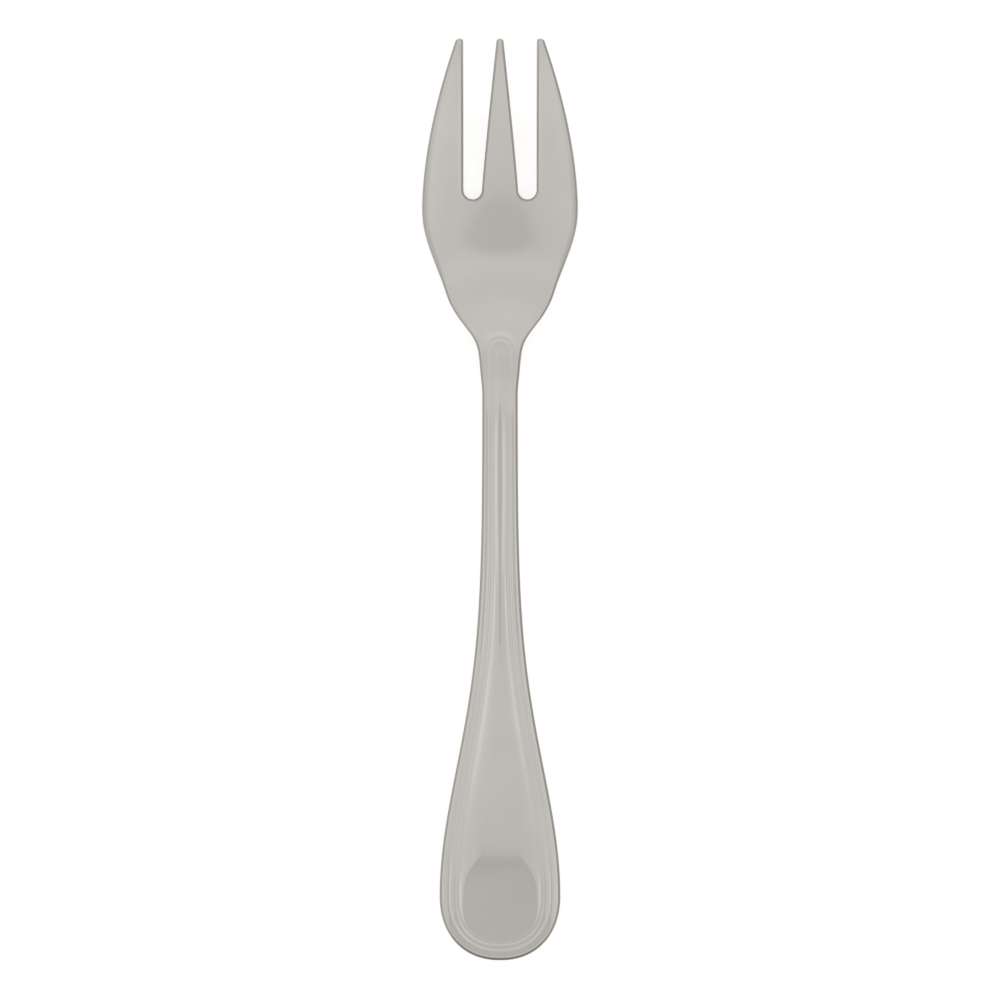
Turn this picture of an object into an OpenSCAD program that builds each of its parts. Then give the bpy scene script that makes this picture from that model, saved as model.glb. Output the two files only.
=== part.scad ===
// An oyster fork made from one blank of stainless steel: a threaded handle, a slim stem, and a
// dished head with three tines. X runs across the fork, Y along it towards the tips and Z up.
// It lies as on a table: the flat under the handle's end and the belly of the head are at Z = 0.
// A station is a distance along the fork from the handle's end, seen from above.

/* [Overall] */
// Length from the handle's end to the tips
overall_len = 150; // [140:1:165]

/* [Handle] */
// Widest width of the handle
handle_w = 19.7; // [17:0.1:22]
// Length of the rounded end, up to the widest place
end_len = 10.6; // [9:0.1:13]
// Distance over which the handle narrows to the stem
taper_len = 29.7; // [25:0.1:33]
// Width of the stem
stem_w = 5.8; // [5.4:0.1:7]
// Thickness of the handle
handle_thick = 2.4; // [2:0.1:3]
// Thickness of the stem at the neck, the stoutest place
neck_thick = 3.4; // [2.6:0.1:4.2]

/* [Head] */
// Length from the neck to the tips
head_len = 58; // [54:0.5:62]
// Widest width of the head
head_w = 25.4; // [22:0.1:28]
// Distance from the tips back to the widest place
widest_back = 27.5; // [25:0.5:30]
// Width over the outer tines at the tips
tip_span = 14.2; // [13.8:0.1:16]
// Thickness of the head
head_thick = 1.9; // [1.6:0.1:2.4]
// Thickness at the tips
tip_thick = 1.3; // [1.1:0.1:1.6]
// How far the sides of the head rise above its middle
dish_depth = 1.9; // [0.8:0.1:2.6]

/* [Tines] */
// Length of the slots between the tines
slot_len = 26; // [20:0.5:30]
// Width of a slot at its round root
slot_w = 3; // [2.4:0.1:3.4]
// Width of the middle tine at its root
middle_w = 5.9; // [5.2:0.1:6.4]
// Width of the middle tine before its rounded point
middle_tip_w = 1.1; // [0.9:0.1:1.6]

/* [Side view] */
// Height that the arch would rise above a straight handle
arch_rise = 7; // [4:0.1:9]
// Station of the crown of the arch
arch_at = 72; // [68:1:78]
// Distance over which the arch falls towards the handle
arch_back = 44; // [40:1:48]
// Distance over which the arch falls towards the head
arch_front = 34; // [30:1:36]
// Height that the tips curve up from the belly
tip_rise = 8; // [4:0.5:12]
// Length of the flat that the handle rests on
rest_len = 12; // [8:0.5:16]

/* [Threads] */
// Width of the outer thread round the handle's end
outer_thread_w = 1.86; // [1.5:0.02:2.2]
// Width of the outer thread along the stem
outer_stem_w = 1.22; // [1:0.02:1.3]
// Width of the inner thread round the handle's end
inner_thread_w = 1.11; // [0.8:0.01:1.4]
// Width of the inner thread along the stem
inner_stem_w = 0.53; // [0.4:0.01:0.7]
// Depth from the outer thread's crown to the rim beside it
thread_depth = 0.16; // [0.1:0.01:0.2]
// Depth from the outer thread's crown to the field inside the threads
field_depth = 0.33; // [0.3:0.01:0.45]
// Width of the hollow from the inner groove down to the field, on the sides of the handle's end
hollow_w = 1.1; // [0.8:0.1:1.3]
// Radius of the arch in which the outer thread closes at the neck
thread_arch_r = 2.97; // [2.7:0.01:3.2]
// Station of the centre of that arch
thread_arch_at = 99.4; // [97:0.2:101]

/* [Edges] */
// Width of the polished bevel along every edge
edge_w = 0.45; // [0.3:0.05:0.5]

/* [Hidden] */

// Rows and columns of the mesh
end_rows = 18;
side_rows = 48;
shoulder_rows = 5;
head_rows = 12;
tine_rows = 10;
point_rows = 4;
back_columns = 4;
tine_columns = 3;
root_columns = 6;
head_columns = 2 * tine_columns + root_columns;

// Exponents of the curves, which have no length
end_power = 2.2;
taper_power = 1.95;
side_power = 1.75;
middle_power = 1.1;
arch_back_power = 3;
arch_front_power = 4;
tip_power = 2;
dip_power = 3;

// Shape of the flare, as shares of the way from the neck to the widest place and of the widening
flare_shares = [[0, 0], [0.12, 0.03], [0.24, 0.072], [0.3, 0.14], [0.36, 0.27], [0.42, 0.41],
                [0.5, 0.55], [0.6, 0.66], [0.7, 0.78], [0.8, 0.895], [0.9, 0.975], [1, 1]];
// Widening of the threads, as shares of the way from the handle's end to the narrowest stem
thread_shares = [[0, 1], [0.16, 1], [0.24, 0.8], [0.34, 0.62], [0.52, 0.48], [0.72, 0.36], [0.95, 0]];
// Part of the way to the neck over which the handle keeps its thickness
body_share = 0.3;
// Depth of the dish along the head
dish_shares = [[0, 0], [0.14, 0.05], [0.36, 0.72], [0.52, 1], [0.76, 0.85], [1, 0.6]];
// Crown of the outer thread, as a share of the way from the edge to the outer groove. Here and in the
// next table the first number is a share of the way from the handle's end to the narrowest stem.
crown_shares = [[0, 0.63], [0.17, 0.63], [0.24, 0.75], [0.37, 0.79], [0.49, 0.71], [0.56, 0.58],
                [0.66, 0.46], [0.73, 0.45], [1, 0.47]];
// Width of the hollow along the handle, as a share of its width on the sides of the handle's end
hollow_w_shares = [[0, 1], [0.16, 1.15], [0.18, 2.1], [0.21, 3.2], [0.24, 3.5], [0.34, 3.1], [0.44, 2.9],
                   [0.54, 2.35], [0.61, 1.65], [0.67, 1.25], [0.73, 0.92], [0.9, 0.78], [1, 0.78],
                   [1.12, 1.1]];
// Width of the hollow at the very end of the handle, as a share of its width on the sides there
hollow_end_share = 0.18;
// How much of the relief is left, against the share of the way to the arch
fade_shares = [[0, 1], [0.845, 1], [0.955, 0.45], [1, 0.45]];
// Place along the head where the tines begin to curve up
belly_share = 0.36;
// Middle of the back that stays flat across, and how much thinner the edges are
flat_share = 0.3;
thin_share = 0.22;
// Softened bevel: how far in and how far down its corners lie, as shares of its width
bevel_shares = [[0.88, 0.07], [0.05, 0.8], [0, 0.92]];
// Deepest bevel, as a share of the thickness
bevel_limit_share = 0.45;
// Widest bevel on a slender point, as a share of its half width
edge_limit_share = 0.6;
// Narrow strip between the bevel and the outer thread, as a share of the bevel's width
lip_share = 0.25;
// Depths across the threads, as shares of thread_depth: round the handle's end, on its sides, where it
// narrows and along the stem
rim_shares = [0.2, 1, 0.75, 0.55];
rise_shares = [0.05, 0.4, 0.3, 0.22];
flank_shares = [0.25, 0.2, 0.05, 0.25];
foot_shares = [0.57, 0.5, 0.1, 0.55];
groove_shares = [0.65, 0.6, 0.12, 0.65];
bead_out_shares = [0.78, 0.15, -0.17, 0.17];
bead_in_shares = [1.17, 0.15, -0.18, 0.17];
bead_foot_shares = [1.4, 0.48, -0.02, 0.48];
inner_groove_shares = [1.4, 0.55, 0.02, 0.64];
// Depth of the field in the same places, as a share of field_depth
field_shares = [0.71, 1, 1.15, 1];
// Places of these lines: across the rise, across the crown's inner flank and across the inner thread
rise_share = 0.4;
flank_place_shares = [0.55, 0.85];
bead_place_shares = [0.4, 0.6, 0.88];
// Stretches of the handle over which the depths change, as shares of the way to the narrowest stem
narrowing_shares = [0.16, 0.23];
stem_shares = [0.46, 0.68];
// Angles round the handle's end over which the depths change, and over which the hollow widens
end_angles = [50, 88];
hollow_angles = [45, 90];
// Angle up to which a tine's point is rounded
point_angle = 72;
// Places of the columns of the hollow, and how far it has come down there
hollow_shares = [[0.15, 0.17], [0.35, 0.5], [0.65, 0.85], [1, 1]];

handle_half = handle_w / 2;
stem_half = stem_w / 2;
head_half = head_w / 2;
widest_at = overall_len - widest_back;
neck_at = overall_len - head_len;
narrow_at = (arch_at + neck_at) / 2;
lip = edge_w * lip_share;
slot_root_r = slot_w / 2 + edge_w;
slot_x = (middle_w + slot_w) / 2;
slot_outer = middle_w / 2 + slot_w;
root_at = overall_len - slot_len + slot_w / 2;
outer_tip_w = tip_span / 2 - slot_outer;
shoulder_at = thread_arch_at + thread_arch_r + 2 * outer_stem_w;

function mix(a, b, share) = a + (b - a) * share;
function reversed(v) = [for (i = [len(v) - 1 : -1 : 0]) v[i]];
function square_of(v) = v * v;
function clamp(v) = min(1, max(0, v));
function ease(v) = let (c = clamp(v)) c * c * (3 - 2 * c);

// Smooth curve through hand-chosen points [x, y], level beyond them
function slope_at(p, i) = i == 0 || i == len(p) - 1 ? 0
    : (p[i + 1][1] - p[i - 1][1]) / (p[i + 1][0] - p[i - 1][0]);
function curve(p, x) =
    x <= p[0][0] ? p[0][1] : x >= p[len(p) - 1][0] ? p[len(p) - 1][1]
    : let (i = max([for (k = [0 : len(p) - 2]) if (x >= p[k][0]) k]),
           h = p[i + 1][0] - p[i][0], t = (x - p[i][0]) / h,
           a = slope_at(p, i) * h, b = slope_at(p, i + 1) * h, rise = p[i + 1][1] - p[i][1])
      p[i][1] + t * (a + t * (3 * rise - 2 * a - b + t * (a + b - 2 * rise)));

// Half width of the outline at a station
function end_half(s) = handle_half * pow(1 - pow(1 - clamp(s / end_len), end_power), 1 / end_power);
function taper_half(s) = stem_half
    + (handle_half - stem_half) * exp(-pow(max(0, s - end_len) / taper_len, taper_power));
function flare(s) = curve(flare_shares, (s - neck_at) / (widest_at - neck_at));
function side_half(s) = mix(head_half, tip_span / 2,
    pow(clamp((s - widest_at) / widest_back), side_power));
function half_w(s) = s < end_len ? end_half(s)
    : s < widest_at ? mix(taper_half(s), head_half, flare(s)) : side_half(s);

// Side view: height of the face in the middle, thickness and dish
function bell_back(s) = exp(-pow(max(0, arch_at - s) / arch_back, arch_back_power));
function bell_front(s) = exp(-pow(max(0, s - arch_at) / arch_front, arch_front_power));
function thick(s) = s < neck_at
    ? mix(handle_thick, neck_thick, ease((s / neck_at - body_share) / (1 - body_share)))
    : s < widest_at ? mix(neck_thick, head_thick, ease((s - neck_at) / (widest_at - neck_at)))
    : mix(head_thick, tip_thick, ease((s - widest_at) / widest_back));
function tip_curve(s) = tip_rise
    * pow(clamp((s - belly_share * head_len - neck_at) / ((1 - belly_share) * head_len)), tip_power);
rest_share = bell_back(rest_len);
function face_raw(s) = handle_thick - arch_rise * rest_share
    + (s < arch_at ? arch_rise * bell_back(s) : arch_rise * bell_front(s) + tip_curve(s));
belly = min([for (i = [0 : 120]) let (s = mix(neck_at, overall_len, i / 120)) face_raw(s) - thick(s)]);
function face(s) = face_raw(s) - (s < arch_at ? 0 : belly * (1 - bell_front(s)));
function dish(s) = dish_depth * curve(dish_shares, (s - neck_at) / head_len);

function top_z(x, s) = face(s) + dish(s) * square_of(x / head_half);
function thick_at(x, s) = thick(s)
    * (1 - thin_share * square_of(max(0, abs(x) / half_w(s) - flat_share) / (1 - flat_share)));
function back_z(x, s) = max(0, top_z(x, s) - thick_at(x, s));

// Widths of the threads at a station, and how far the arch at the neck has begun
function grow(s) = curve(thread_shares, s / narrow_at);
function outer_w(s) = mix(outer_stem_w, outer_thread_w, grow(s));
function inner_w(s) = mix(inner_stem_w, inner_thread_w, grow(s));
function thread_half(s) = s < end_len ? handle_half : s < narrow_at ? half_w(s)
    : min(half_w(s), thread_arch_r);
function crown_at(s) = mix(edge_w + lip, outer_w(s), curve(crown_shares, s / narrow_at));
function hollow_at(s, a) = mix(hollow_w * hollow_end_share,
    min(hollow_w * curve(hollow_w_shares, s / narrow_at), thread_half(s) - outer_w(s) - inner_w(s) - lip),
    begun(a, hollow_angles));
function arch_begun(s) = ease((s - narrow_at) / (thread_arch_at - narrow_at));

// Value between those for the handle's end, its sides, its narrowing and the stem, at a station and
// at an angle round the end
function begun(v, range) = ease((v - range[0]) / (range[1] - range[0]));
function along(shares, s, a) = let (side = mix(shares[0], shares[1], begun(a, end_angles)),
        narrowing = mix(side, shares[2], begun(s / narrow_at, narrowing_shares)))
    mix(narrowing, shares[3], begun(s / narrow_at, stem_shares));
function fade(s) = curve(fade_shares, s / thread_arch_at);
function crown_z(s) = thread_depth * rim_shares[3] * arch_begun(s) * fade(s);
function depth(shares, s, a) = crown_z(s) - thread_depth * along(shares, s, a) * fade(s);
function field_z(s, a) = crown_z(s) - field_depth * along(field_shares, s, a) * fade(s);

// The lines that run along the threads, from the edge inwards: [distance, height]
function lines(s, a = 90) = let (o = outer_w(s), n = inner_w(s), crown = crown_at(s), start = edge_w + lip,
        inner_z = depth(inner_groove_shares, s, a))
    [[edge_w, depth(rim_shares, s, a)],
     [start, depth(rim_shares, s, a)],
     [mix(start, crown, rise_share), depth(rise_shares, s, a)],
     [crown, crown_z(s)],
     [mix(crown, o, flank_place_shares[0]), depth(flank_shares, s, a)],
     [mix(crown, o, flank_place_shares[1]), depth(foot_shares, s, a)],
     [o, depth(groove_shares, s, a)],
     [o + n * bead_place_shares[0], depth(bead_out_shares, s, a)],
     [o + n * bead_place_shares[1], depth(bead_in_shares, s, a)],
     [o + n * bead_place_shares[2], depth(bead_foot_shares, s, a)],
     [o + n, inner_z],
     for (h = hollow_shares) [o + n + hollow_at(s, a) * h[0], mix(inner_z, field_z(s, a), h[1])]];
function line_x(s, k) = let (d = lines(s)[k][0])
    k == 0 || s <= narrow_at ? half_w(s) - d
    : k == 1 ? min(half_w(s) - d, thread_arch_r)
    : k == 2 ? mix(line_x(s, 1), line_x(s, 3), rise_share) : thread_half(s) - d;
line_count = len(lines(0));

function solid_point(x, s, z) = [x, s - overall_len / 2, z];
function on_face(x, s, relief) = solid_point(x, s, top_z(x, s) + relief);
function on_back(x, s) = solid_point(x, s, back_z(x, s));

// Bevelled edge at an outline point p with inward direction n: points from the face to the back.
// The face's rim lies at height relief above the plain surface.
function edge_wall(p, n, r, relief = 0) = let (q = p + n * r, top = top_z(q[0], q[1]) + relief,
        back = back_z(q[0], q[1]), drop = min(r, bevel_limit_share * (top - back)))
    concat([for (b = bevel_shares) bevel_point(p + n * r * b[0], top - drop * b[1])],
           [for (b = reversed(bevel_shares)) bevel_point(p + n * r * b[0], back + drop * b[1])]);
function bevel_point(q, z) = solid_point(q[0], q[1], z);

// A row of the handle, from the middle of the face over the edge to the middle of the back.
// The outline point is p, its inward direction n, and the lines are taken from station s.
function end_outline(a) = [handle_half * pow(sin(a), 2 / end_power),
                           end_len * (1 - pow(cos(a), 2 / end_power))];
function end_inward(a) = let (v = [-pow(sin(a), 2 - 2 / end_power) / handle_half,
                                   pow(cos(a), 2 - 2 / end_power) / end_len]) v / norm(v);
function line_places(a, s) = s < end_len
    ? let (p = end_outline(a), n = end_inward(a)) [for (l = lines(s, a)) p + n * l[0]]
    : [for (k = [0 : line_count - 1]) [line_x(s, k), s]];
function handle_row(a, s) = let (places = line_places(a, s), last = places[line_count - 1],
        l = lines(s, a), first = places[0], inside = l[line_count - 1][1],
        p = s < end_len ? end_outline(a) : [half_w(s), s], n = s < end_len ? end_inward(a) : [-1, 0])
    concat([on_face(0, last[1], inside), on_face(last[0] / 2, last[1], inside)],
           [for (k = [line_count - 1 : -1 : 0]) on_face(places[k][0], places[k][1], l[k][1])],
           edge_wall(p, n, edge_w, l[0][1]),
           [for (i = [0 : back_columns]) let (q = mix(first, [0, last[1]], i / back_columns))
               on_back(q[0], q[1])]);
function end_station(a) = end_outline(a)[1];
handle_rows = concat(
    [for (i = [0 : end_rows - 1]) let (a = 90 * i / end_rows) handle_row(a, end_station(a))],
    [for (i = [0 : side_rows]) handle_row(90, mix(end_len, thread_arch_at, i / side_rows))]);

// Columns of the head, from the middle outwards, at a share of the way to the slots' roots
function root_place(c) = c <= tine_columns ? [(middle_w / 2 - edge_w) * c / tine_columns, 0]
    : c < tine_columns + root_columns ? let (t = 180 * (c - tine_columns) / root_columns)
      [slot_x - slot_root_r * cos(t), slot_root_r * sin(t)]
    : [mix(slot_outer + edge_w, half_w(root_at) - edge_w,
           (c - tine_columns - root_columns) / tine_columns), 0];
function head_place(c, share) = let (r = root_place(c), s = mix(shoulder_at, root_at, share),
        even = c / head_columns, drawn = r[0] / (half_w(root_at) - edge_w))
    [mix(even, drawn, share) * (half_w(s) - edge_w), s - r[1] * pow(share, dip_power)];
head_face = [for (i = [0 : head_rows]) [for (c = [0 : head_columns])
    let (q = head_place(c, i / head_rows)) on_face(q[0], q[1], 0)]];
head_back = [for (i = [0 : head_rows]) [for (c = [head_columns : -1 : 0])
    let (q = head_place(c, i / head_rows)) on_back(q[0], q[1])]];

// The threads' arch at the neck: rays from its centre out to the shoulder and the head
function shoulder_station(i) = mix(thread_arch_at, shoulder_at, i / shoulder_rows);
function ray_end(i) = i <= shoulder_rows ? [half_w(shoulder_station(i)) - edge_w, shoulder_station(i)]
    : head_place(head_columns + shoulder_rows - i, 0);
function ray(i) = let (q = ray_end(i), s = thread_arch_at, t = atan2(q[1] - s, q[0]), l = lines(s),
        r = concat([0, line_x(s, line_count - 1) / 2], [for (k = [line_count - 1 : -1 : 1]) line_x(s, k)]),
        z = concat([field_z(s, 90), field_z(s, 90)], [for (k = [line_count - 1 : -1 : 1]) l[k][1]]))
    concat([for (k = [0 : len(r) - 1]) on_face(r[k] * cos(t), s + r[k] * sin(t), z[k])],
           [on_face(q[0], q[1], 0)]);
neck_face = [for (i = [0 : shoulder_rows + head_columns]) ray(i)];
neck_back = [for (i = [0 : shoulder_rows - 1]) let (q = ray_end(i)) [for (c = [0 : back_columns])
    on_back(q[0] * (1 - c / back_columns), q[1])]];

// Edge of the shoulder and the head
function side_row(s) = let (x = half_w(s) - edge_w)
    concat([on_face(x, s, 0)], edge_wall([half_w(s), s], [-1, 0], edge_w), [on_back(x, s)]);
side_wall = concat([for (i = [0 : shoulder_rows]) side_row(shoulder_station(i))],
                   [for (i = [1 : head_rows]) side_row(mix(shoulder_at, root_at, i / head_rows))]);
root_wall = [for (c = [tine_columns + root_columns : -1 : tine_columns])
    let (q = head_place(c, 1), t = 180 * (c - tine_columns) / root_columns,
         n = [-cos(t), -sin(t)], p = [slot_x, root_at] + n * (slot_w / 2))
    concat([on_face(q[0], q[1], 0)], edge_wall(p, n, edge_w), [on_back(q[0], q[1])])];

// Tines: stations, and the share of the width that is left as they shrink to a round point
function middle_half(s) = mix(middle_w, middle_tip_w,
    pow(clamp((s - root_at) / (overall_len - root_at)), middle_power)) / 2;
function tine_places(r) = concat(
    [for (i = [0 : tine_rows]) [mix(root_at, overall_len - r, i / tine_rows), 1]],
    [for (i = [1 : point_rows]) let (a = point_angle * i / point_rows)
        [overall_len - r + r * sin(a) / sin(point_angle), cos(a)]]);
function span_row(xa, xb, s) = [for (c = [0 : tine_columns]) on_face(mix(xa, xb, c / tine_columns), s, 0)];
function span_back(xa, xb, s) = [for (c = [tine_columns : -1 : 0])
    on_back(mix(xa, xb, c / tine_columns), s)];
middle_tine = [for (t = tine_places(middle_tip_w / 2))
    let (s = t[0], w = middle_half(s) * t[1], r = min(edge_w, w * edge_limit_share))
    concat(span_row(0, w - r, s), edge_wall([w, s], [-1, 0], r), span_back(0, w - r, s))];
outer_tine = [for (t = tine_places(outer_tip_w / 2))
    let (s = t[0], m = (half_w(s) + slot_outer) / 2, w = (half_w(s) - slot_outer) / 2 * t[1],
         r = min(edge_w, w * edge_limit_share), top = span_row(m - w + r, m + w - r, s))
    concat(top, edge_wall([m + w, s], [-1, 0], r), span_back(m - w + r, m + w - r, s),
           reversed(edge_wall([m - w, s], [1, 0], r)), [top[0]])];

// Faces: strips of triangles between the rows of a patch
function starts(patches, i = 0, at = 0) = i == len(patches) ? []
    : concat([at], starts(patches, i + 1, at + len(patches[i]) * len(patches[i][0])));
function strips(patch, at) = let (n = len(patch[0])) [for (i = [0 : len(patch) - 2], j = [0 : n - 2])
    let (a = at + i * n + j, b = a + n) each [[a, b, a + 1], [a + 1, b, b + 1]]];
function end_face(patch, at, open) = let (n = len(patch[0]), a = at + (len(patch) - 1) * n)
    [for (j = [n - 1 - open : -1 : 0]) a + j];
// Joins the last row of the stem's back to the finer first row of the head's back
function widening(a, b) = let (k = head_columns / back_columns)
    concat([for (i = [0 : head_columns - 1]) [a + floor((i + k / 2) / k), b + i, b + i + 1]],
           [for (q = [0 : back_columns - 1]) [a + q, b + k * q + ceil(k / 2), a + q + 1]]);

module fork() {
    patches = [handle_rows, neck_face, neck_back, head_face, head_back, side_wall, root_wall,
               middle_tine, outer_tine];
    at = starts(patches);
    half_points = [for (p = patches) for (row = p) each row];
    count = len(half_points);
    points = concat(half_points, [for (p = half_points) [-p[0], p[1], p[2]]]);
    half_faces = concat([for (i = [0 : len(patches) - 1]) each strips(patches[i], at[i])],
        widening(at[2] + (shoulder_rows - 1) * (back_columns + 1), at[4]),
        [end_face(middle_tine, at[7], 0), end_face(outer_tine, at[8], 1)]);
    faces = concat(half_faces, [for (f = half_faces) [for (i = reversed(f)) i + count]]);
    color([0.66, 0.64, 0.61])
        polyhedron(points, [for (f = faces)
            if (len(f) > 3 || (points[f[0]] != points[f[1]] && points[f[1]] != points[f[2]]
                && points[f[2]] != points[f[0]])) f]);
}

fork();
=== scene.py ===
"""An oyster fork of polished stainless steel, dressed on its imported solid.

One piece, fork_body, stands for the solid: the same fork from the same sizes at a finer step, so that
its threads, dish and tines reflect the studio as the real ones do. Sizes are in millimetres, and a
station is a distance along the fork from the handle's end. The mesh itself is in metres.
"""

import logging
import math
from collections.abc import Callable
from dataclasses import astuple, dataclass, field
from enum import Enum

import bpy
import numpy as np
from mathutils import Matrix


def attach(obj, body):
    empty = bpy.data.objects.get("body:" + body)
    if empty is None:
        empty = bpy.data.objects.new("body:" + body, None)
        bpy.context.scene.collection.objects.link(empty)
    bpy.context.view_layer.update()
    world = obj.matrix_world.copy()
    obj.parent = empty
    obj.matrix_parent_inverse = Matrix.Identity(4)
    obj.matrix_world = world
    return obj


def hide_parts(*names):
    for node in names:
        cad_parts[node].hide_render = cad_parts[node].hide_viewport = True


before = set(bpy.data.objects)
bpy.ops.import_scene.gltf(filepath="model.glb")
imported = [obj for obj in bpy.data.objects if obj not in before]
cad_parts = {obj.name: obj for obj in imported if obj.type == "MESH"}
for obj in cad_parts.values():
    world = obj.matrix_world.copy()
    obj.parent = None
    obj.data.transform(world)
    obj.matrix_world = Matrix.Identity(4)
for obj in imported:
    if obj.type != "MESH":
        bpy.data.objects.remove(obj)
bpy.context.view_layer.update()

MM = 0.001
MERGE = 2e-7
DIGITS = 6
QUARTER_TURN = 90
HALF_TURN = 180
WHITE = (1.0, 1.0, 1.0)
INWARD = np.array([-1.0, 0.0])
OUTWARD = np.array([1.0, 0.0])

Value = float | np.ndarray
Span = tuple[float, float]
Profile = tuple[np.ndarray, np.ndarray]
Points = tuple[tuple[float, float], ...]
Tint = tuple[float, float, float]
Color = tuple[float, float, float, float]
Socket = bpy.types.NodeSocket
Feed = float | Socket
Inputs = dict[str | int, object]

log = logging.getLogger("oyster_fork")


class Side(Enum):
    """Side of the blank that a sheet of the mesh lies on."""

    FACE = "face"
    BACK = "back"


def mix(a: Value, b: Value, share: Value) -> Value:
    """Value at a share of the way from a to b."""
    return a + (b - a) * share


def ease(v: Value) -> Value:
    """Smooth step from 0 to 1."""
    c = np.clip(v, 0.0, 1.0)
    return c * c * (3.0 - 2.0 * c)


def passed(v: Value, span: Span) -> Value:
    """Smooth share of a span that a value has passed: 0 before the span, 1 beyond it."""
    return ease((v - span[0]) / (span[1] - span[0]))


def curve(points: Points, x: Value) -> np.ndarray:
    """Smooth curve through chosen points, level at its ends and beyond them.

    Args:
        points: Pairs of place and value, in order.
        x: Places to read the curve at.

    Returns:
        The value at each place.
    """
    p = np.asarray(points, float)
    x = np.clip(np.asarray(x, float), p[0, 0], p[-1, 0])
    slope = np.zeros(len(p))
    slope[1:-1] = (p[2:, 1] - p[:-2, 1]) / (p[2:, 0] - p[:-2, 0])
    i = np.clip(np.searchsorted(p[:, 0], x, side="right") - 1, 0, len(p) - 2)
    step = p[i + 1, 0] - p[i, 0]
    t = (x - p[i, 0]) / step
    a, b, rise = slope[i] * step, slope[i + 1] * step, p[i + 1, 1] - p[i, 1]
    return p[i, 1] + t * (a + t * (3 * rise - 2 * a - b + t * (a + b - 2 * rise)))


def sloped(knots: list[float], slopes: np.ndarray, counts: tuple[int, ...]) -> Profile:
    """Turns slopes across the threads into a profile.

    Args:
        knots: Places of the knots, in order.
        slopes: Slope at each knot in degrees, even in between.
        counts: How many steps each span between two knots gets.

    Returns:
        The finer places and their heights, from zero at the first knot.
    """
    places = [float(knots[0])]
    angles = [float(slopes[0])]
    for i, count in enumerate(counts):
        shares = np.arange(1, count + 1) / count
        places.extend(mix(knots[i], knots[i + 1], shares))
        angles.extend(mix(slopes[i], slopes[i + 1], shares))
    rise = np.tan(np.radians(angles))
    steps = np.diff(places)
    heights = np.concatenate([[0.0], np.cumsum(steps * (rise[1:] + rise[:-1]) / 2)])
    return np.array(places), heights


def at_station(x: np.ndarray, s: float) -> np.ndarray:
    """Places at one station, from their distances from the middle."""
    return np.column_stack([x, np.full(len(x), s)])


@dataclass(frozen=True)
class Plan:
    """Outline of the fork seen from above."""

    length: float = 150.0
    handle_w: float = 19.7
    end_len: float = 10.6
    taper_len: float = 29.7
    stem_w: float = 5.8
    head_len: float = 58.0
    head_w: float = 25.39
    widest_back: float = 27.5
    tip_span: float = 14.2
    slot_len: float = 26.0
    slot_w: float = 3.0
    middle_w: float = 5.9
    middle_tip_w: float = 1.1
    end_power: float = 2.2
    taper_power: float = 1.95
    side_power: float = 1.75
    middle_power: float = 1.1
    flare_shares: Points = ((0, 0), (0.12, 0.03), (0.24, 0.072), (0.3, 0.14), (0.36, 0.27), (0.42, 0.41),
                            (0.5, 0.55), (0.6, 0.66), (0.7, 0.78), (0.8, 0.895), (0.9, 0.975), (1, 1))

    @property
    def neck_at(self) -> float:
        """Station of the neck."""
        return self.length - self.head_len

    @property
    def widest_at(self) -> float:
        """Station of the widest place of the head."""
        return self.length - self.widest_back

    @property
    def root_at(self) -> float:
        """Station of the centre of the slots' round roots."""
        return self.length - self.slot_len + self.slot_w / 2

    @property
    def slot_x(self) -> float:
        """Distance of a slot's middle from the fork's middle."""
        return (self.middle_w + self.slot_w) / 2

    @property
    def slot_outer(self) -> float:
        """Distance of a slot's outer side from the fork's middle."""
        return self.middle_w / 2 + self.slot_w

    @property
    def outer_tip_w(self) -> float:
        """Width of an outer tine before its rounded point."""
        return self.tip_span / 2 - self.slot_outer

    def half_width(self, s: Value) -> np.ndarray:
        """Half width of the outline at a station."""
        s = np.asarray(s, float)
        half, head = self.handle_w / 2, self.head_w / 2
        cap = (1 - (1 - np.clip(s / self.end_len, 0, 1)) ** self.end_power) ** (1 / self.end_power)
        away = np.maximum(0, s - self.end_len) / self.taper_len
        taper = self.stem_w / 2 + (half - self.stem_w / 2) * np.exp(-away ** self.taper_power)
        flare = curve(self.flare_shares, (s - self.neck_at) / (self.widest_at - self.neck_at))
        drawn = np.clip((s - self.widest_at) / self.widest_back, 0, 1) ** self.side_power
        return np.where(s < self.end_len, half * cap,
                        np.where(s < self.widest_at, mix(taper, head, flare),
                                 mix(head, self.tip_span / 2, drawn)))

    def end_point(self, turn: float) -> np.ndarray:
        """Point of the rounded end, from its tip at 0 degrees to its side at 90."""
        a = math.radians(turn)
        return np.array([self.handle_w / 2 * math.sin(a) ** (2 / self.end_power),
                         self.end_len * (1 - max(0.0, math.cos(a)) ** (2 / self.end_power))])

    def end_inward(self, turn: float) -> np.ndarray:
        """Direction square to the rounded end, pointing inwards."""
        a = math.radians(turn)
        power = 2 - 2 / self.end_power
        v = np.array([-math.sin(a) ** power / (self.handle_w / 2),
                      max(0.0, math.cos(a)) ** power / self.end_len])
        return v / np.linalg.norm(v)

    def middle_half(self, s: Value) -> np.ndarray:
        """Half width of the middle tine at a station."""
        share = np.clip((s - self.root_at) / (self.length - self.root_at), 0, 1)
        return mix(self.middle_w, self.middle_tip_w, share ** self.middle_power) / 2


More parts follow.
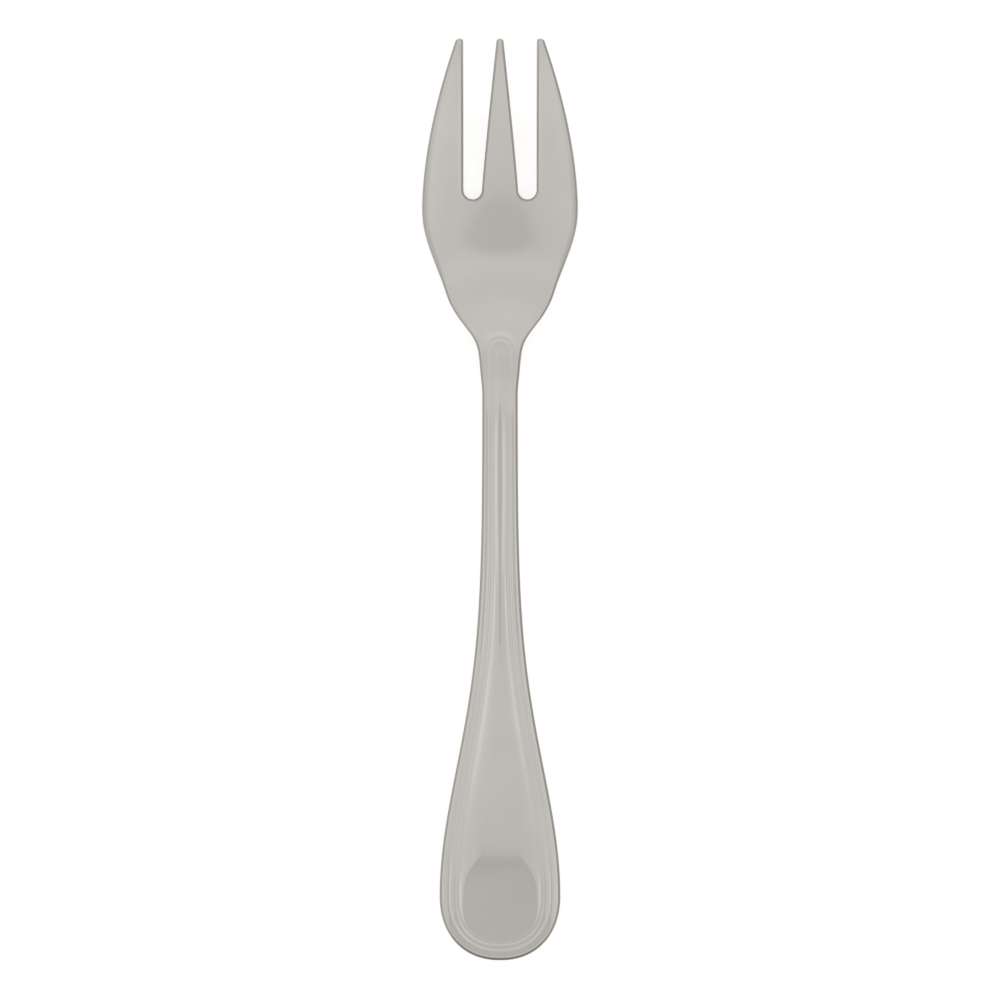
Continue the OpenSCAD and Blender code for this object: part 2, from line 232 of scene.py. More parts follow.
@dataclass(frozen=True)
class SideView:
    """Heights of the face and the back, along and across the fork."""

    plan: Plan = Plan()
    handle_thick: float = 2.4
    neck_thick: float = 3.4
    head_thick: float = 1.9
    tip_thick: float = 1.3
    dish_depth: float = 1.9
    arch_rise: float = 7.0
    arch_at: float = 72.0
    arch_back: float = 44.0
    arch_front: float = 34.0
    arch_back_power: float = 3.0
    arch_front_power: float = 4.0
    tip_rise: float = 8.0
    tip_power: float = 2.0
    rest_len: float = 12.0
    body_share: float = 0.3
    belly_share: float = 0.36
    flat_share: float = 0.3
    thin_share: float = 0.22
    belly_places: int = 121
    dish_shares: Points = ((0, 0), (0.14, 0.05), (0.36, 0.72), (0.52, 1), (0.76, 0.85), (1, 0.6))

    def _bell_back(self, s: Value) -> np.ndarray:
        """Share of the arch's rise, on the side of the handle."""
        return np.exp(-(np.maximum(0, self.arch_at - s) / self.arch_back) ** self.arch_back_power)

    def _bell_front(self, s: Value) -> np.ndarray:
        """Share of the arch's rise, on the side of the head."""
        return np.exp(-(np.maximum(0, s - self.arch_at) / self.arch_front) ** self.arch_front_power)

    def thick(self, s: Value) -> np.ndarray:
        """Thickness in the middle at a station."""
        p = self.plan
        body = passed(s / p.neck_at, (self.body_share, 1))
        head = passed(s, (p.neck_at, p.widest_at))
        tips = ease((s - p.widest_at) / p.widest_back)
        return np.where(s < p.neck_at, mix(self.handle_thick, self.neck_thick, body),
                        np.where(s < p.widest_at, mix(self.neck_thick, self.head_thick, head),
                                 mix(self.head_thick, self.tip_thick, tips)))

    def _raw(self, s: Value) -> np.ndarray:
        """Height of the face before the belly is set on the table."""
        p = self.plan
        begin = self.belly_share * p.head_len
        along = np.clip((s - begin - p.neck_at) / (p.head_len - begin), 0, 1)
        tips = self.tip_rise * along ** self.tip_power
        base = self.handle_thick - self.arch_rise * self._bell_back(self.rest_len)
        return base + np.where(s < self.arch_at, self.arch_rise * self._bell_back(s),
                               self.arch_rise * self._bell_front(s) + tips)

    @property
    def _belly(self) -> float:
        """Height of the belly before it is set on the table."""
        s = np.linspace(self.plan.neck_at, self.plan.length, self.belly_places)
        return float(np.min(self._raw(s) - self.thick(s)))

    def top(self, x: Value, s: Value, belly: float) -> np.ndarray:
        """Height of the face at a place."""
        p = self.plan
        middle = self._raw(s) - np.where(s < self.arch_at, 0, belly * (1 - self._bell_front(s)))
        dish = self.dish_depth * curve(self.dish_shares, (s - p.neck_at) / p.head_len)
        return middle + dish * (x / (p.head_w / 2)) ** 2

    def heights(self, x: Value, s: Value) -> tuple[np.ndarray, np.ndarray]:
        """Heights of the face and of the back at places.

        Args:
            x: Distances from the fork's middle.
            s: Stations.

        Returns:
            The face's heights and the back's heights.
        """
        x, s = np.asarray(x, float), np.asarray(s, float)
        top = self.top(x, s, self._belly)
        beyond = np.maximum(0, np.abs(x) / self.plan.half_width(s) - self.flat_share)
        out = beyond / (1 - self.flat_share)
        return top, np.maximum(0, top - self.thick(s) * (1 - self.thin_share * out ** 2))


@dataclass(frozen=True)
class Slopes:
    """Slopes across the threads at one part of the handle, in degrees, rising inwards above zero."""

    rim: float
    rise: float
    crown: float
    flank: float
    foot: float
    groove: float
    bead_start: float
    bead_rise: float
    bead_top: float
    bead_fall: float
    bead_foot: float
    ledge: float

    def values(self) -> np.ndarray:
        """The slopes as one row, from the edge inwards."""
        return np.array(astuple(self))


AT_END = Slopes(8, 0, 0, -17, -21, 31, 0, -6, -21, -17, -2, 0)
AT_SIDE = Slopes(16, 14, 5.4, -17, -22, 0, 11, 9, 0, -8, -10, 0)
AT_MIDDLE = Slopes(14, 12, 0, -10, -12, 0, 12, 10, 0, -9, -11, 0)
AT_STEM = Slopes(18, 15, 0, -15, -19, 0, 18, 14, 0, -14, -18, -6)
AT_ARCH = Slopes(20, 17, 0, -25, -24, 0, 14, 12, 0, -12, -16, -2)


@dataclass(frozen=True)
class Threads:
    """Relief of the two threads round the handle, and of the field inside them.

    A span is a pair of stations, or of angles round the handle's end, between which one shape passes
    into the next. The angle is 0 at the tip of the end and 90 on the sides. The hollow is the slope from
    the inner thread down to the field. It falls by cap_shares and then by mid_shares on the broad part,
    by long_shares from long_span to short_span, and by stem_shares from late_span on.
    """

    plan: Plan = Plan()
    edge_w: float = 0.45
    outer_w: float = 1.86
    outer_stem_w: float = 1.22
    inner_w: float = 1.11
    inner_stem_w: float = 0.53
    foot_w: float = 0.08
    bank_w: float = 0.06
    ledge_w: float = 0.12
    rise_share: float = 0.4
    flank_share: float = 0.55
    bead_shares: tuple[float, ...] = (0.4, 0.5, 0.6)
    arch_r: float = 2.97
    arch_at: float = 99.4
    arch_lift_share: float = 0.5
    narrow_at: float = 82.0
    lift_from: float = 80.0
    grow_shares: Points = ((0, 1), (0.16, 1), (0.24, 0.8), (0.34, 0.62), (0.52, 0.48), (0.72, 0.36),
                           (0.95, 0))
    crown_shares: Points = ((0, 0.63), (14, 0.63), (20, 0.75), (30, 0.79), (40, 0.71), (46, 0.58),
                            (54, 0.46), (60, 0.45), (99, 0.47))
    hollow_widths: Points = ((0, 1.1), (10, 1.12), (12, 1.22), (13, 1.4), (14.5, 1.95), (16, 2.8),
                             (17, 3.4), (20, 3.9), (28, 3.4), (36, 3.0), (44, 2.35), (50, 1.83), (55, 1.3),
                             (60, 1.04), (74, 0.93), (87, 0.93), (92, 1.2), (99, 1.2))
    hollow_end_w: float = 0.2
    field_least: float = 0.03
    cap_shares: Points = ((0, 0), (0.1, 0.05), (0.22, 0.2), (0.36, 0.46), (0.5, 0.72), (0.62, 0.84),
                          (0.8, 0.95), (0.9, 0.985), (1, 1))
    mid_shares: Points = ((0, 0), (0.1, 0.07), (0.22, 0.24), (0.36, 0.48), (0.5, 0.68), (0.7, 0.835),
                          (0.85, 0.92), (1, 1))
    stem_shares: Points = ((0, 0), (0.15, 0.07), (0.3, 0.2), (0.5, 0.44), (0.7, 0.7), (0.85, 0.89), (1, 1))
    long_shares: Points = ((0, 0), (0.1, 0.12), (0.25, 0.4), (0.4, 0.64), (0.6, 0.85), (0.8, 0.96), (1, 1))
    field_depths: Points = ((0, 0.233), (3, 0.233), (13, 0.33), (20, 0.38), (34, 0.42), (46, 0.41),
                            (54, 0.38), (62, 0.33), (99, 0.33))
    field_end: float = 3.0
    fade_shares: Points = ((0, 1), (84, 1), (95, 0.45), (99, 0.45))
    side_turns: Span = (50, 88)
    middle_span: Span = (13, 19)
    stem_span: Span = (38, 56)
    arch_span: Span = (89, 98)
    hollow_turns: Span = (45, QUARTER_TURN)
    long_span: Span = (11, 18)
    short_span: Span = (44, 56)
    mid_from: float = 30.0
    late_span: Span = (58, 66)
    rim_steps: int = 5
    steps: tuple[int, ...] = (3, 4, 3, 3, 2, 2, 4, 2, 2, 3, 3)
    hollow_steps: int = 14

    @property
    def crown_line(self) -> int:
        """Number of the line along the crown of the rim."""
        return self.steps[0] + self.steps[1]

    def half(self, s: float) -> float:
        """Half width that the threads follow."""
        if s < self.plan.end_len:
            return self.plan.handle_w / 2
        width = float(self.plan.half_width(s))
        return width if s < self.narrow_at else min(width, self.arch_r)

    def end_station(self, turn: float) -> float:
        """Station where the field begins, at an angle round the handle's end."""
        return float(self.plan.end_point(turn)[1] + self.field_end * self.plan.end_inward(turn)[1])

    def slopes(self, s: float, turn: float) -> np.ndarray:
        """Slopes across the threads at a station, and at an angle round the handle's end."""
        side = mix(AT_END.values(), AT_SIDE.values(), passed(turn, self.side_turns))
        middle = mix(side, AT_MIDDLE.values(), passed(s, self.middle_span))
        stem = mix(middle, AT_STEM.values(), passed(s, self.stem_span))
        return mix(stem, AT_ARCH.values(), passed(s, self.arch_span))

    def lifted(self, s: float) -> float:
        """Share of the way from the stem to the arch, over which the rim runs out."""
        return float(passed(s, (self.lift_from, self.arch_at)))

    def fall(self, s: float) -> np.ndarray:
        """Shape of the hollow at a station: shares of its depth, from the thread to the field."""
        shares = np.linspace(0, 1, self.hollow_steps + 1)[1:]
        early = curve(self.cap_shares if s < self.mid_from else self.mid_shares, shares)
        short = mix(early, curve(self.stem_shares, shares), float(passed(s, self.late_span)))
        gentle = float(passed(s, self.long_span) * (1 - passed(s, self.short_span)))
        return mix(short, curve(self.long_shares, shares), gentle)

    def hollow(self, s: float, turn: float, at: float, start: float) -> Profile:
        """Profile from the inner thread down to the field.

        Args:
            s: Station that the widths are taken at.
            turn: Angle round the handle's end, 90 on the sides.
            at: Distance at which the hollow starts.
            start: Height at which it starts.

        Returns:
            Distances from the line that the threads follow, and heights.
        """
        wide = min(float(curve(self.hollow_widths, s)), self.half(s) - at - self.field_least)
        wide = mix(self.hollow_end_w, wide, float(passed(turn, self.hollow_turns)))
        depth = float(curve(self.field_depths, s if turn >= QUARTER_TURN else self.end_station(turn)))
        shares = np.linspace(0, 1, self.hollow_steps + 1)[1:]
        return at + wide * shares, start - (start + depth) * self.fall(s)

    def section(self, s: float, turn: float) -> Profile:
        """Profile across the threads, from the edge inwards.

        Args:
            s: Station that the widths are taken at.
            turn: Angle round the handle's end, 90 on the sides.

        Returns:
            Distances from the line that the threads follow, and heights.
        """
        grow = float(curve(self.grow_shares, s / self.narrow_at))
        edge, outer = self.edge_w, mix(self.outer_stem_w, self.outer_w, grow)
        inner_w = mix(self.inner_stem_w, self.inner_w, grow)
        inner = outer + inner_w
        crown = mix(edge, outer, float(curve(self.crown_shares, s)))
        rim = [edge, mix(edge, crown, self.rise_share), crown, mix(crown, outer, self.flank_share)]
        groove = [outer - self.foot_w, outer, outer + self.bank_w]
        bead = [outer + share * inner_w for share in self.bead_shares]
        d, z = sloped([*rim, *groove, *bead, inner - self.ledge_w, inner], self.slopes(s, turn), self.steps)
        z -= z[self.crown_line]
        hollow = self.hollow(s, turn, inner, z[-1])
        d, z = np.concatenate([d, hollow[0]]), np.concatenate([z, hollow[1]])
        z *= float(curve(self.fade_shares, s))
        return d, z - z[0] * self.lifted(s) * self.arch_lift_share

    def lines(self, s: float, turn: float) -> Profile:
        """Lines along the threads on the straight part: their distances from the middle, and heights."""
        width = float(self.plan.half_width(s))
        d, z = self.section(s, turn)
        x = self.half(s) - d
        crown = self.crown_line
        foot = min(width - self.edge_w, self.arch_r if s > self.narrow_at else width)
        x[:crown] = x[crown] + (x[:crown] - x[crown]) * (foot - x[crown]) / (x[0] - x[crown])
        rim = np.linspace(width - self.edge_w, foot, self.rim_steps + 1)[:-1]
        left = mix(1, self.run_out(), self.lifted(s))
        return np.concatenate([rim, x]), np.concatenate([z[0] * left, z])

    def run_out(self) -> np.ndarray:
        """How much of the rim's depth is left beyond the arch, from the outside in."""
        return np.linspace(0, 1, self.rim_steps + 1)[:-1] ** 2


@dataclass
class ForkBody:
    """The whole fork, from the handle's end to the tips, with its threads, dish and tines."""

    plan: Plan = Plan()
    side: SideView = SideView()
    threads: Threads = Threads()
    end_rows: int = 56
    stem_rows: int = 210
    shoulder_rows: int = 18
    head_rows: int = 60
    tine_rows: int = 64
    point_rows: int = 10
    field_columns: int = 8
    tine_columns: int = 8
    root_columns: int = 12
    point_limit_share: float = 0.6
    point_power: float = 0.7
    dip_power: int = 3
    back_meets_at: float = 3.3
    edge_depth_share: float = 0.45
    edge_shares: Points = ((1, 0), (0.96, 0.015), (0.92, 0.036), (0.88, 0.065), (0.6, 0.308), (0.3, 0.569),
                           (0.1, 0.743), (0.05, 0.795), (0.02, 0.843), (0, 0.918))
    name: str = "fork_body"
    sheets: list[bpy.types.Object] = field(default_factory=list)

    @property
    def head_columns(self) -> int:
        """Columns across half of the head."""
        return 2 * self.tine_columns + self.root_columns

    @property
    def shoulder_at(self) -> float:
        """Station where the head's rows begin."""
        return self.threads.arch_at + self.threads.arch_r + 2 * self.threads.outer_stem_w

    def on(self, side: Side, places: np.ndarray, relief: Value = 0.0) -> np.ndarray:
        """Lays places of the plan on the face or the back.

        Args:
            side: The face or the back.
            places: Rows of distance from the middle and station.
            relief: Height above the plain surface, on the face.

        Returns:
            Points of the solid in millimetres, centred along Y.
        """
        places = np.asarray(places, float).reshape(-1, 2)
        top, back = self.side.heights(places[:, 0], places[:, 1])
        z = top + relief if side is Side.FACE else back
        return np.column_stack([places[:, 0], places[:, 1] - self.plan.length / 2, z])

    def wall(self, p: np.ndarray, n: np.ndarray, r: float, relief: float = 0.0) -> np.ndarray:
        """Bevelled and softened edge at a point of the outline, from the face down to the back.

        Args:
            p: Point of the outline.
            n: Direction inwards, square to the outline.
            r: Width of the edge, seen from above.
            relief: Height of the face's rim above the plain surface.

        Returns:
            The points between the face's last one and the back's first one.
        """
        q = p + n * r
        top, back = self.side.heights(q[0], q[1])
        top, back = float(top) + relief, float(back)
        drop = min(r, (top - back) * self.edge_depth_share)
        down = [(r * d, top - drop * z) for d, z in self.edge_shares[1:]]
        up = [(r * d, back + drop * z) for d, z in self.edge_shares[:0:-1]]
        points = down + [(0.0, (down[-1][1] + up[0][1]) / 2)] + up
        return np.array([[p[0] + n[0] * d, p[1] + n[1] * d - self.plan.length / 2, z] for d, z in points])

    def handle_row(self, s: float, turn: float) -> np.ndarray:
        """One row of the handle, from the middle of the face over the edge to the middle of the back.

        Args:
            s: Station of the row.
            turn: Angle round the handle's end, 90 on the sides.

        Returns:
            The row's points.
        """
        t = self.threads
        if turn < QUARTER_TURN:
            p, n = self.plan.end_point(turn), self.plan.end_inward(turn)
            d, z = t.section(s, turn)
            d = np.concatenate([np.full(t.rim_steps, d[0]), d])
            z = np.concatenate([np.full(t.rim_steps, z[0]), z])
            places = p + np.outer(d, n)
        else:
            x, z = t.lines(s, turn)
            p, n = np.array([float(self.plan.half_width(s)), s]), INWARD
            places = at_station(x, s)
        last, first = places[-1], places[0]
        inside = np.array([[last[0] * k / self.field_columns, last[1]] for k in range(self.field_columns)])
        meet = np.array([0.0, max(last[1], self.back_meets_at)])
        back = mix(first, meet, np.linspace(0, 1, self.head_columns + 1)[:, None])
        return np.vstack([self.on(Side.FACE, inside, z[-1]), self.on(Side.FACE, places[::-1], z[::-1]),
                          self.wall(p, n, t.edge_w, z[0]), self.on(Side.BACK, back)])

    def handle(self) -> np.ndarray:
        """The handle and the stem, up to the centre of the threads' arch."""
        turns = [QUARTER_TURN * i / self.end_rows for i in range(self.end_rows)]
        rows = [self.handle_row(float(self.plan.end_point(a)[1]), a) for a in turns]
        stations = np.linspace(self.plan.end_len, self.threads.arch_at, self.stem_rows + 1)
        return np.array(rows + [self.handle_row(float(s), QUARTER_TURN) for s in stations])

    def root_place(self, c: int) -> tuple[float, float]:
        """Place of a column of the head at the slots' roots: distance, and how far it dips."""
        plan, r = self.plan, self.plan.slot_w / 2 + self.threads.edge_w
        if c <= self.tine_columns:
            return (plan.middle_w / 2 - self.threads.edge_w) * c / self.tine_columns, 0.0
        if c < self.tine_columns + self.root_columns:
            a = math.pi * (c - self.tine_columns) / self.root_columns
            return plan.slot_x - r * math.cos(a), r * math.sin(a)
        edge = float(plan.half_width(plan.root_at)) - self.threads.edge_w
        share = (c - self.tine_columns - self.root_columns) / self.tine_columns
        return mix(plan.slot_outer + self.threads.edge_w, edge, share), 0.0

    def head_place(self, c: int, share: float) -> np.ndarray:
        """Place of a column of the head, at a share of the way to the slots' roots."""
        x, dip = self.root_place(c)
        s = mix(self.shoulder_at, self.plan.root_at, share)
        whole = float(self.plan.half_width(self.plan.root_at)) - self.threads.edge_w
        wide = float(self.plan.half_width(s)) - self.threads.edge_w
        across = mix(c / self.head_columns, x / whole, ease(share))
        return np.array([across * wide, s - dip * share ** self.dip_power])

    def head(self, side: Side) -> np.ndarray:
        """The head's face or back, from the shoulder to the slots' roots."""
        return np.array([self.on(side, np.array([self.head_place(c, i / self.head_rows)
                                                 for c in range(self.head_columns + 1)]))
                         for i in range(self.head_rows + 1)])

    def shoulder_station(self, i: int) -> float:
        """Station of a row of the shoulder."""
        return mix(self.threads.arch_at, self.shoulder_at, i / self.shoulder_rows)

    def ray_end(self, i: int) -> np.ndarray:
        """Place where a ray from the arch's centre meets the shoulder's edge or the head."""
        if i <= self.shoulder_rows:
            s = self.shoulder_station(i)
            return np.array([float(self.plan.half_width(s)) - self.threads.edge_w, s])
        return self.head_place(self.head_columns + self.shoulder_rows - i, 0.0)

    def neck(self) -> np.ndarray:
        """The arch in which the threads close: rays from its centre out to the shoulder and the head."""
        t = self.threads
        x, z = t.lines(t.arch_at, QUARTER_TURN)
        rim, centre = t.rim_steps, np.array([0.0, t.arch_at])
        inner = x[-1] * np.arange(self.field_columns) / self.field_columns
        radii = np.concatenate([inner, x[:rim - 1:-1]])
        relief = np.concatenate([np.full(self.field_columns, z[-1]), z[:rim - 1:-1]])
        rows = []
        for i in range(self.shoulder_rows + self.head_columns + 1):
            out = self.ray_end(i) - centre
            reach = float(np.linalg.norm(out))
            shares = np.arange(1, rim + 1) / rim
            beyond = radii[-1] + (reach - radii[-1]) * shares
            places = np.outer(np.concatenate([radii, beyond]), out / reach) + centre
            rows.append(self.on(Side.FACE, places, np.concatenate([relief, z[rim] * t.run_out()[::-1]])))
        return np.array(rows)

    def neck_back(self) -> np.ndarray:
        """The back of the neck, between the handle's back and the head's back."""
        rows = []
        for i in range(self.shoulder_rows + 1):
            x, s = self.ray_end(i)
            rows.append(self.on(Side.BACK, at_station(x * np.linspace(1, 0, self.head_columns + 1), s)))
        return np.array(rows)

    def head_edge(self) -> np.ndarray:
        """The outer edge of the shoulder and the head."""
        stations = [self.shoulder_station(i) for i in range(self.shoulder_rows + 1)]
        stations += [mix(self.shoulder_at, self.plan.root_at, i / self.head_rows)
                     for i in range(1, self.head_rows + 1)]
        rows = []
        for s in stations:
            width = float(self.plan.half_width(s))
            rim = np.array([[width - self.threads.edge_w, s]])
            edge = self.wall(np.array([width, s]), INWARD, self.threads.edge_w)
            rows.append(np.vstack([self.on(Side.FACE, rim), edge, self.on(Side.BACK, rim)]))
        return np.array(rows)

    def slot_root(self) -> np.ndarray:
        """The round root of a slot."""
        rows = []
        for c in range(self.tine_columns, self.tine_columns + self.root_columns + 1):
            a = math.pi * (c - self.tine_columns) / self.root_columns
            n = np.array([-math.cos(a), -math.sin(a)])
            p = np.array([self.plan.slot_x, self.plan.root_at]) + n * self.plan.slot_w / 2
            q = self.head_place(c, 1.0).reshape(1, 2)
            rows.append(np.vstack([self.on(Side.FACE, q), self.wall(p, n, self.threads.edge_w),
                                   self.on(Side.BACK, q)]))
        return np.array(rows)

    def middle_ring(self, s: float, left: float) -> np.ndarray:
        """Half ring of the middle tine at a station, where a share of its width is left."""
        w = float(self.plan.middle_half(s)) * left
        r = min(self.threads.edge_w, w * self.point_limit_share)
        across = at_station((w - r) * np.linspace(0, 1, self.tine_columns + 1), s)
        return np.vstack([self.on(Side.FACE, across),
                          self.wall(np.array([w, s]), INWARD, r),
                          self.on(Side.BACK, across[::-1])])

    def outer_ring(self, s: float, left: float) -> np.ndarray:
        """Ring of the outer tine at a station, where a share of its width is left."""
        half = float(self.plan.half_width(s))
        m, w = (half + self.plan.slot_outer) / 2, (half - self.plan.slot_outer) / 2 * left
        r = min(self.threads.edge_w, w * self.point_limit_share)
        across = at_station(mix(m - w + r, m + w - r, np.linspace(0, 1, self.tine_columns + 1)), s)
        face = self.on(Side.FACE, across)
        return np.vstack([face,
                          self.wall(np.array([m + w, s]), INWARD, r),
                          self.on(Side.BACK, across[::-1]),
                          self.wall(np.array([m - w, s]), OUTWARD, r)[::-1],
                          face[:1]])

    def tine(self, tip_w: float, ring_at: Callable[[float, float], np.ndarray]) -> np.ndarray:
        """One tine, as rings from its root to its rounded point.

        Args:
            tip_w: Width before the point.
            ring_at: Gives the tine's ring for a station and the share of its width that is left there.

        Returns:
            The rings' points.
        """
        root, r = self.plan.root_at, tip_w / 2
        point = self.plan.length - r
        rows = [ring_at(s, 1.0) for s in np.linspace(root, point, self.tine_rows + 1)]
        for a in np.linspace(0, math.pi / 2, self.point_rows + 1)[1:]:
            left = max(math.cos(a), 0.0)
            ring = ring_at(point + r * math.sin(a), left)
            middle = (ring[:, 2].max() + ring[:, 2].min()) / 2
            ring[:, 2] = middle + (ring[:, 2] - middle) * left ** self.point_power
            rows.append(ring)
        return np.array(rows)

    def drape(self, label: str, points: np.ndarray) -> None:
        """Adds a grid of a sheet's rows and columns and lays its corners on their places.

        Args:
            label: Plain name of the sheet.
            points: The places, row by row, in millimetres.
        """
        rows, columns = points.shape[:2]
        bpy.ops.object.select_all(action="DESELECT")
        bpy.ops.mesh.primitive_grid_add(x_subdivisions=columns - 1, y_subdivisions=rows - 1, size=1.0)
        sheet = bpy.context.object
        flat = np.empty(len(sheet.data.vertices) * 3, np.float32)
        sheet.data.vertices.foreach_get("co", flat)
        flat = flat.reshape(-1, 3)
        order = np.lexsort((flat[:, 0].round(DIGITS), flat[:, 1].round(DIGITS)))
        flat[order] = points.reshape(-1, 3) * MM
        sheet.data.vertices.foreach_set("co", flat.ravel())
        sheet.data.update()
        self.sheets.append(sheet)
        log.info("%s: %d rows of %d", label, rows, columns)

    def build(self) -> bpy.types.Object:
        """Makes the half fork from its sheets, closes it, mirrors it and joins the halves.

        Returns:
            The finished piece.
        """
        self.drape("handle and stem", self.handle())
        self.drape("arch at the neck", self.neck())
        self.drape("back of the neck", self.neck_back())
        self.drape("face of the head", self.head(Side.FACE))
        self.drape("back of the head", self.head(Side.BACK))
        self.drape("edge of the head", self.head_edge())
        self.drape("slot root", self.slot_root())
        self.drape("middle tine", self.tine(self.plan.middle_tip_w, self.middle_ring))
        self.drape("outer tine", self.tine(self.plan.outer_tip_w, self.outer_ring))
        bpy.ops.object.select_all(action="DESELECT")
        for sheet in self.sheets:
            sheet.select_set(True)
        bpy.context.view_layer.objects.active = self.sheets[0]
        bpy.ops.object.join()
        piece = bpy.context.object
        piece.name = piece.data.name = self.name
        self.merge()
        mirror = piece.modifiers.new("other half", "MIRROR")
        mirror.use_axis = (True, False, False)
        mirror.merge_threshold = MERGE
        bpy.ops.object.modifier_apply(modifier=mirror.name)
        self.merge()
        bpy.ops.object.shade_smooth()
        return piece

    @staticmethod
    def merge() -> None:
        """Merges the active mesh's doubles and turns its faces outwards."""
        bpy.ops.object.mode_set(mode="EDIT")
        bpy.ops.mesh.select_all(action="SELECT")
        bpy.ops.mesh.remove_doubles(threshold=MERGE)
        bpy.ops.mesh.normals_make_consistent(inside=False)
        bpy.ops.object.mode_set(mode="OBJECT")


class Sum(Enum):
    """Sums that a shader node works out."""

    TIMES = "MULTIPLY"
    TIMES_PLUS = "MULTIPLY_ADD"
    OVER = "DIVIDE"
    LARGER = "MAXIMUM"
    ANGLE = "ARCCOSINE"


@dataclass(frozen=True)
class Shading:
    """The nodes of a material or of the world, with short ways to add and feed them."""

    tree: bpy.types.NodeTree

    @classmethod
    def of(cls, block: bpy.types.Material | bpy.types.World) -> "Shading":
        """Turns on the nodes of a material or of the world."""
        block.use_nodes = True
        return cls(block.node_tree)

    def fill(self, node: bpy.types.Node, inputs: Inputs) -> bpy.types.Node:
        """Gives a node's inputs their values.

        Args:
            node: The node.
            inputs: A value for each input's name or number: a number, a colour or another node's output.

        Returns:
            The same node.
        """
        for key, value in inputs.items():
            if isinstance(value, Socket):
                self.tree.links.new(value, node.inputs[key])
            else:
                node.inputs[key].default_value = value
        return node

    def add(self, kind: str, inputs: Inputs, **settings: str | bool) -> bpy.types.Node:
        """Adds a node.

        Args:
            kind: The node's type.
            inputs: Values for its inputs, as fill takes them.
            settings: The node's own settings, which come before its inputs.

        Returns:
            The new node.
        """
        node = self.tree.nodes.new(kind)
        for name, setting in settings.items():
            setattr(node, name, setting)
        return self.fill(node, inputs)

    def sum(self, sort: Sum, *parts: Feed) -> Socket:
        """Works out a sum of numbers and of other nodes' outputs."""
        return self.add("ShaderNodeMath", dict(enumerate(parts)), operation=sort.value).outputs[0]

    def ranged(self, value: Socket, source: Span, target: Span = (0.0, 1.0)) -> Socket:
        """Maps a value smoothly from one range onto another, and keeps it inside."""
        inputs = dict(zip(("From Min", "From Max", "To Min", "To Max"), source + target))
        inputs["Value"] = value
        return self.add("ShaderNodeMapRange", inputs, interpolation_type="SMOOTHSTEP").outputs["Result"]


@dataclass(frozen=True)
class Marks:
    """One layer of marks on the steel: noise stretched along the fork, and what part of it shows."""

    scale: tuple[float, float, float]
    detail: float
    showing: Span
    turn: float = 0.0

    def noise(self, shading: Shading, place: Socket) -> Socket:
        """Noise of the layer, read at a place of the object."""
        stretched = shading.add("ShaderNodeMapping", {
            "Vector": place,
            "Rotation": (0.0, 0.0, self.turn),
            "Scale": self.scale,
        })
        noise = shading.add("ShaderNodeTexNoise", {
            "Vector": stretched.outputs["Vector"],
            "Scale": 1.0,
            "Detail": self.detail,
        })
        return noise.outputs["Fac"]


